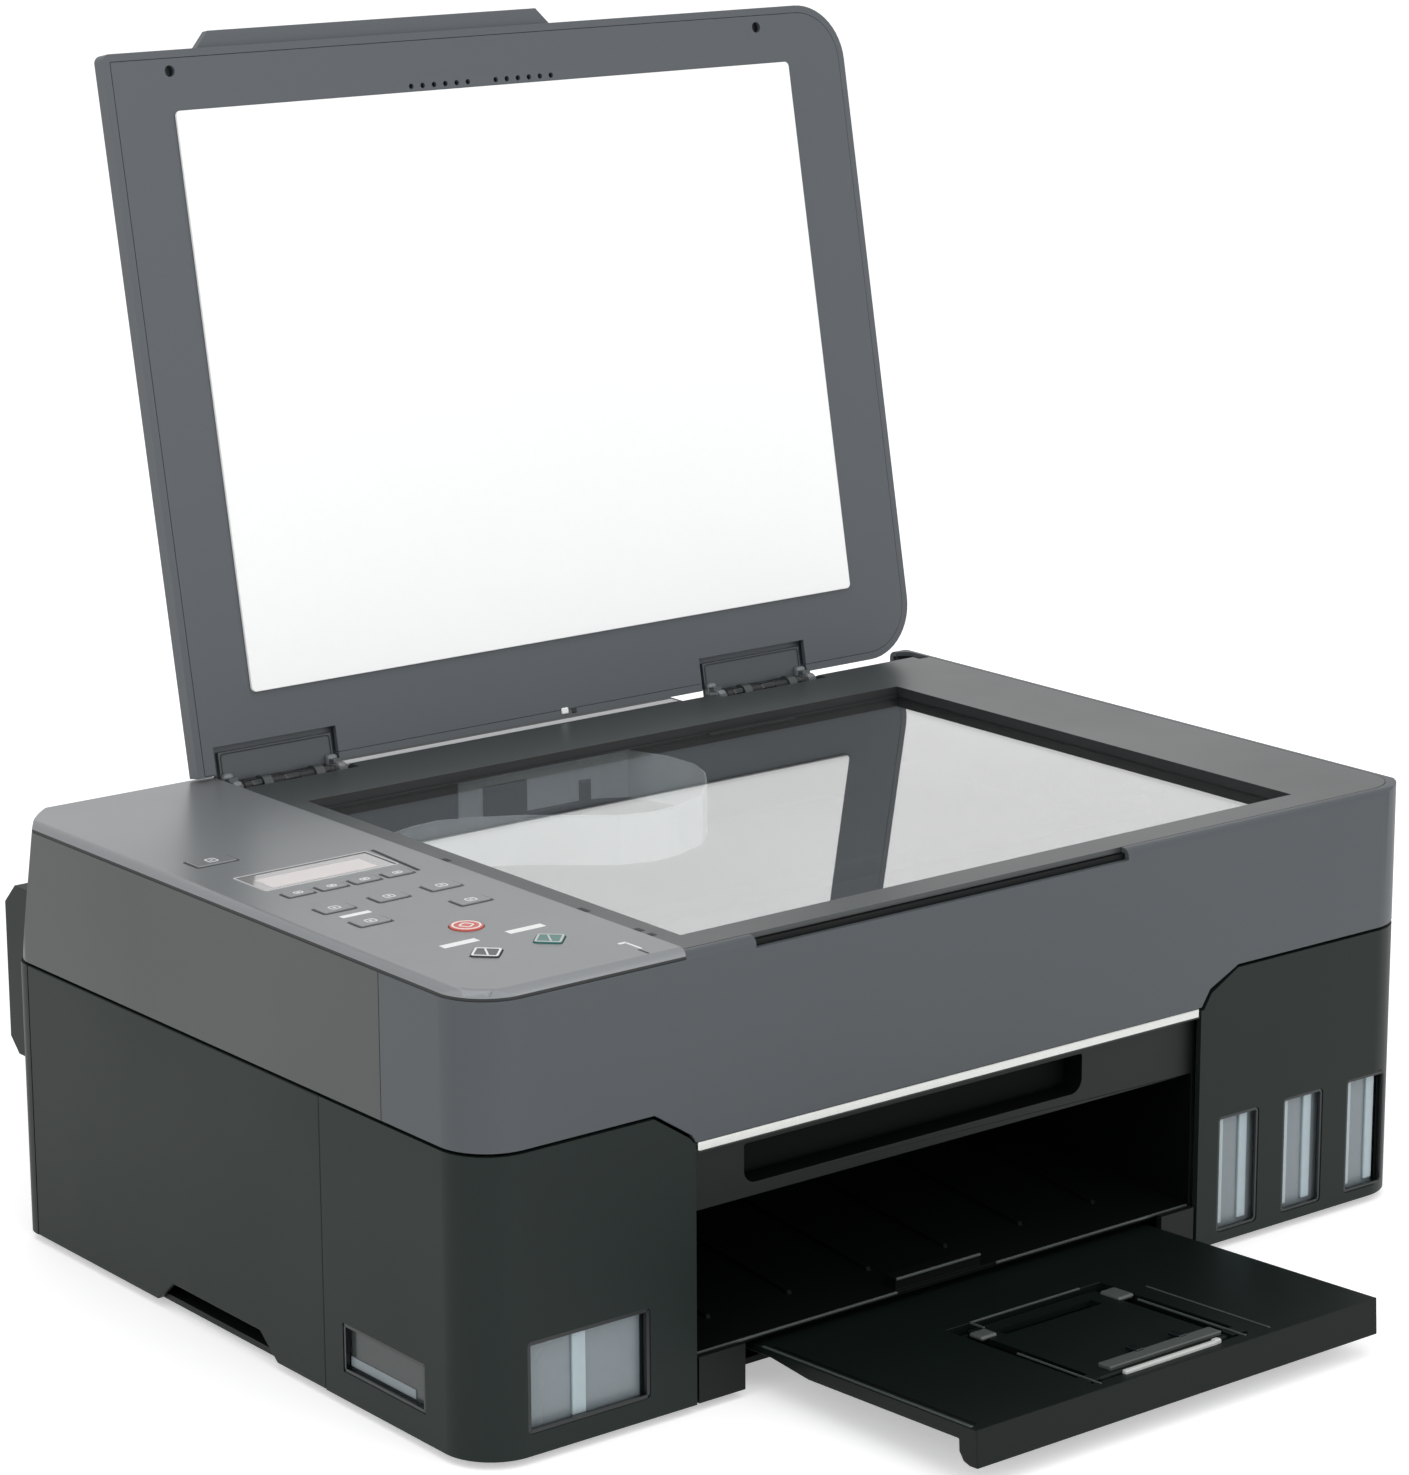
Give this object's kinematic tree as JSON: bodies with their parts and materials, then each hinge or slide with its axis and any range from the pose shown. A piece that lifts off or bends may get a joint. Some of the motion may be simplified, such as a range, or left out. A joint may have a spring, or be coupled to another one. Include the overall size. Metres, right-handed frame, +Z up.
{
  "type": "inkjet printer",
  "caption": "Inkjet printer and flatbed scanner with its document cover open, output tray out, ink windows in the front corners, keys and display on the left.",
  "frame": {"origin": "centre of the footprint of the object as it stands with its cover open and its tray out, on the desk surface", "axes": "+X to the viewer's right as one faces the front, +Y to the back, +Z up"},
  "size_m": [0.445, 0.4594, 0.4473],
  "materials": {
    "belt": "matt",
    "black_shell": "fine grained black with a green tint",
    "board": "solder resist",
    "brass": "turned",
    "deck_black": "matt",
    "glass": "clear",
    "grey_shell": "satin dark grey",
    "guide_grey": "satin",
    "head": "matt",
    "hinge_grey": "satin",
    "ink_tank": "milky translucent",
    "inner_black": "matt",
    "key_black": "satin",
    "key_grey": "satin",
    "key_red": "satin",
    "key_teal": "satin",
    "lcd": "unlit display",
    "panel_grey": "satin metallic grey",
    "ribbon": "flat cable",
    "roller": "matt",
    "rubber": "matt",
    "silver": "bright trim",
    "steel": "plain sheet",
    "white_pad": "matt white sheet"
  },
  "bodies": {
    "chassis": {"base_frame": "inner_black", "rubber_feet": "rubber", "left_side_cover": "black_shell", "right_side_cover": "black_shell", "rear_cover": "black_shell", "left_tank_cover": "black_shell", "right_tank_cover": "black_shell", "black_ink_tank": "ink_tank", "colour_ink_tanks": "ink_tank", "tank_caps": "rubber", "inner_front_frame": "inner_black", "output_floor": "inner_black", "print_platen": "inner_black", "carriage_rail": "steel", "timing_belt": "belt", "purge_unit": "inner_black", "main_board": "board", "power_supply": "inner_black", "ink_tubes": "rubber", "case_screws": "steel", "drive_motors": "steel"},
    "tray": {"output_tray": "black_shell"},
    "stopper": {"output_stopper": "black_shell"},
    "support": {"paper_support": "black_shell"},
    "guide_left": {"paper_guide_left": "guide_grey"},
    "guide_right": {"paper_guide_right": "guide_grey"},
    "pickup": {"pickup_roller": "roller"},
    "transport": {"transport_roller": "steel"},
    "eject": {"eject_roller": "roller"},
    "carriage": {"carriage": "inner_black", "print_heads": "head"},
    "motor_wheel": {"motor_pulley": "brass"},
    "idler_wheel": {"idler_pulley": "steel"},
    "scanner": {"scanner_tub": "deck_black", "scanner_front_cover": "grey_shell", "scanner_left_panel": "grey_shell", "platen_frame": "deck_black", "platen_glass": "glass", "operation_panel": "panel_grey", "lcd_window": "lcd", "silver_trim": "silver", "scanner_ribbon": "ribbon"},
    "scan_head": {"scan_bar": "inner_black"},
    "cover": {"cover_shell": "grey_shell", "cover_inner_panel": "grey_shell", "cover_pad": "white_pad", "cover_hinges": "hinge_grey"},
    "button_power": {"key_power": "key_grey"},
    "button_back": {"key_back": "key_grey"},
    "button_left": {"key_left": "key_grey"},
    "button_right": {"key_right": "key_grey"},
    "button_ok": {"key_ok": "key_grey"},
    "button_copy": {"key_copy": "key_grey"},
    "button_menu": {"key_menu": "key_grey"},
    "button_scan": {"key_scan": "key_grey"},
    "button_setup": {"key_setup": "key_grey"},
    "button_info": {"key_info": "key_grey"},
    "button_stop": {"key_stop": "key_red"},
    "button_black": {"key_black": "key_black"},
    "button_colour": {"key_colour": "key_teal"}
  },
  "joints": [
    {"name": "tray_slide", "type": "slide", "parent": "chassis", "child": "tray", "axis": [0, 0.9986, -0.0523], "range_m": [0, 0.103]},
    {"name": "stopper_hinge", "type": "hinge", "parent": "tray", "child": "stopper", "pos_m": [-0.2225, -0.21813, 0.019], "axis": [1, 0, 0], "range_deg": [0, 110]},
    {"name": "support_hinge", "type": "hinge", "parent": "chassis", "child": "support", "pos_m": [-0.2225, 0.20283, 0.074], "axis": [-1, 0, 0], "range_deg": [0, 38]},
    {"name": "guide_slide", "type": "slide", "parent": "chassis", "child": "guide_left", "axis": [1, 0, 0], "range_m": [0, 0.06]},
    {"name": "guide_right_slide", "type": "slide", "parent": "chassis", "child": "guide_right", "axis": [1, 0, 0], "range_m": [-0.06, 0]},
    {"name": "pickup_spin", "type": "hinge", "parent": "chassis", "child": "pickup", "pos_m": [-0.011, 0.15683, 0.066], "axis": [1, 0, 0], "continuous": true},
    {"name": "transport_spin", "type": "hinge", "parent": "chassis", "child": "transport", "pos_m": [-0.011, 0.10283, 0.0345], "axis": [1, 0, 0], "continuous": true},
    {"name": "eject_spin", "type": "hinge", "parent": "chassis", "child": "eject", "pos_m": [-0.011, -0.00717, 0.0345], "axis": [1, 0, 0], "continuous": true},
    {"name": "carriage_slide", "type": "slide", "parent": "chassis", "child": "carriage", "axis": [-1, 0, 0], "range_m": [0, 0.28]},
    {"name": "motor_wheel_spin", "type": "hinge", "parent": "chassis", "child": "motor_wheel", "pos_m": [-0.1805, 0.11583, 0.086], "axis": [0, 1, 0], "continuous": true},
    {"name": "idler_wheel_spin", "type": "hinge", "parent": "chassis", "child": "idler_wheel", "pos_m": [0.1805, 0.11583, 0.086], "axis": [0, 1, 0], "continuous": true},
    {"name": "scanner_lift", "type": "hinge", "parent": "chassis", "child": "scanner", "pos_m": [0, 0.18883, 0.15], "axis": [-1, 0, 0], "range_deg": [0, 22]},
    {"name": "scan_bar_slide", "type": "slide", "parent": "scanner", "child": "scan_head", "axis": [1, 0, 0], "range_m": [0, 0.3], "deforming": ["scanner_ribbon"]},
    {"name": "cover_hinge", "type": "hinge", "parent": "scanner", "child": "cover", "pos_m": [0.0395, 0.16513, 0.164], "axis": [1, 0, 0], "range_deg": [0, 100.8]},
    {"name": "button_power_press", "type": "slide", "parent": "scanner", "child": "button_power", "axis": [0, 0, -1], "range_m": [0, 0.0008], "stiffness_N_per_m": 1500},
    {"name": "button_back_press", "type": "slide", "parent": "scanner", "child": "button_back", "axis": [0, 0, -1], "range_m": [0, 0.0008], "stiffness_N_per_m": 1500},
    {"name": "button_left_press", "type": "slide", "parent": "scanner", "child": "button_left", "axis": [0, 0, -1], "range_m": [0, 0.0008], "stiffness_N_per_m": 1500},
    {"name": "button_right_press", "type": "slide", "parent": "scanner", "child": "button_right", "axis": [0, 0, -1], "range_m": [0, 0.0008], "stiffness_N_per_m": 1500},
    {"name": "button_ok_press", "type": "slide", "parent": "scanner", "child": "button_ok", "axis": [0, 0, -1], "range_m": [0, 0.0008], "stiffness_N_per_m": 1500},
    {"name": "button_copy_press", "type": "slide", "parent": "scanner", "child": "button_copy", "axis": [0, 0, -1], "range_m": [0, 0.0008], "stiffness_N_per_m": 1500},
    {"name": "button_menu_press", "type": "slide", "parent": "scanner", "child": "button_menu", "axis": [0, 0, -1], "range_m": [0, 0.0008], "stiffness_N_per_m": 1500},
    {"name": "button_scan_press", "type": "slide", "parent": "scanner", "child": "button_scan", "axis": [0, 0, -1], "range_m": [0, 0.0008], "stiffness_N_per_m": 1500},
    {"name": "button_setup_press", "type": "slide", "parent": "scanner", "child": "button_setup", "axis": [0, 0, -1], "range_m": [0, 0.0008], "stiffness_N_per_m": 1500},
    {"name": "button_info_press", "type": "slide", "parent": "scanner", "child": "button_info", "axis": [0, 0, -1], "range_m": [0, 0.0008], "stiffness_N_per_m": 1500},
    {"name": "button_stop_press", "type": "slide", "parent": "scanner", "child": "button_stop", "axis": [0, 0, -1], "range_m": [0, 0.0008], "stiffness_N_per_m": 1500},
    {"name": "button_black_press", "type": "slide", "parent": "scanner", "child": "button_black", "axis": [0, 0, -1], "range_m": [0, 0.0008], "stiffness_N_per_m": 1500},
    {"name": "button_colour_press", "type": "slide", "parent": "scanner", "child": "button_colour", "axis": [0, 0, -1], "range_m": [0, 0.0008], "stiffness_N_per_m": 1500}
  ],
  "couplings": [
    {"joint": "guide_right_slide", "follows": "guide_slide", "ratio": -1},
    {"joint": "eject_spin", "follows": "transport_spin", "ratio": 1},
    {"joint": "motor_wheel_spin", "follows": "carriage_slide", "rad_per_m": 120.48},
    {"joint": "idler_wheel_spin", "follows": "carriage_slide", "rad_per_m": 120.48}
  ]
}
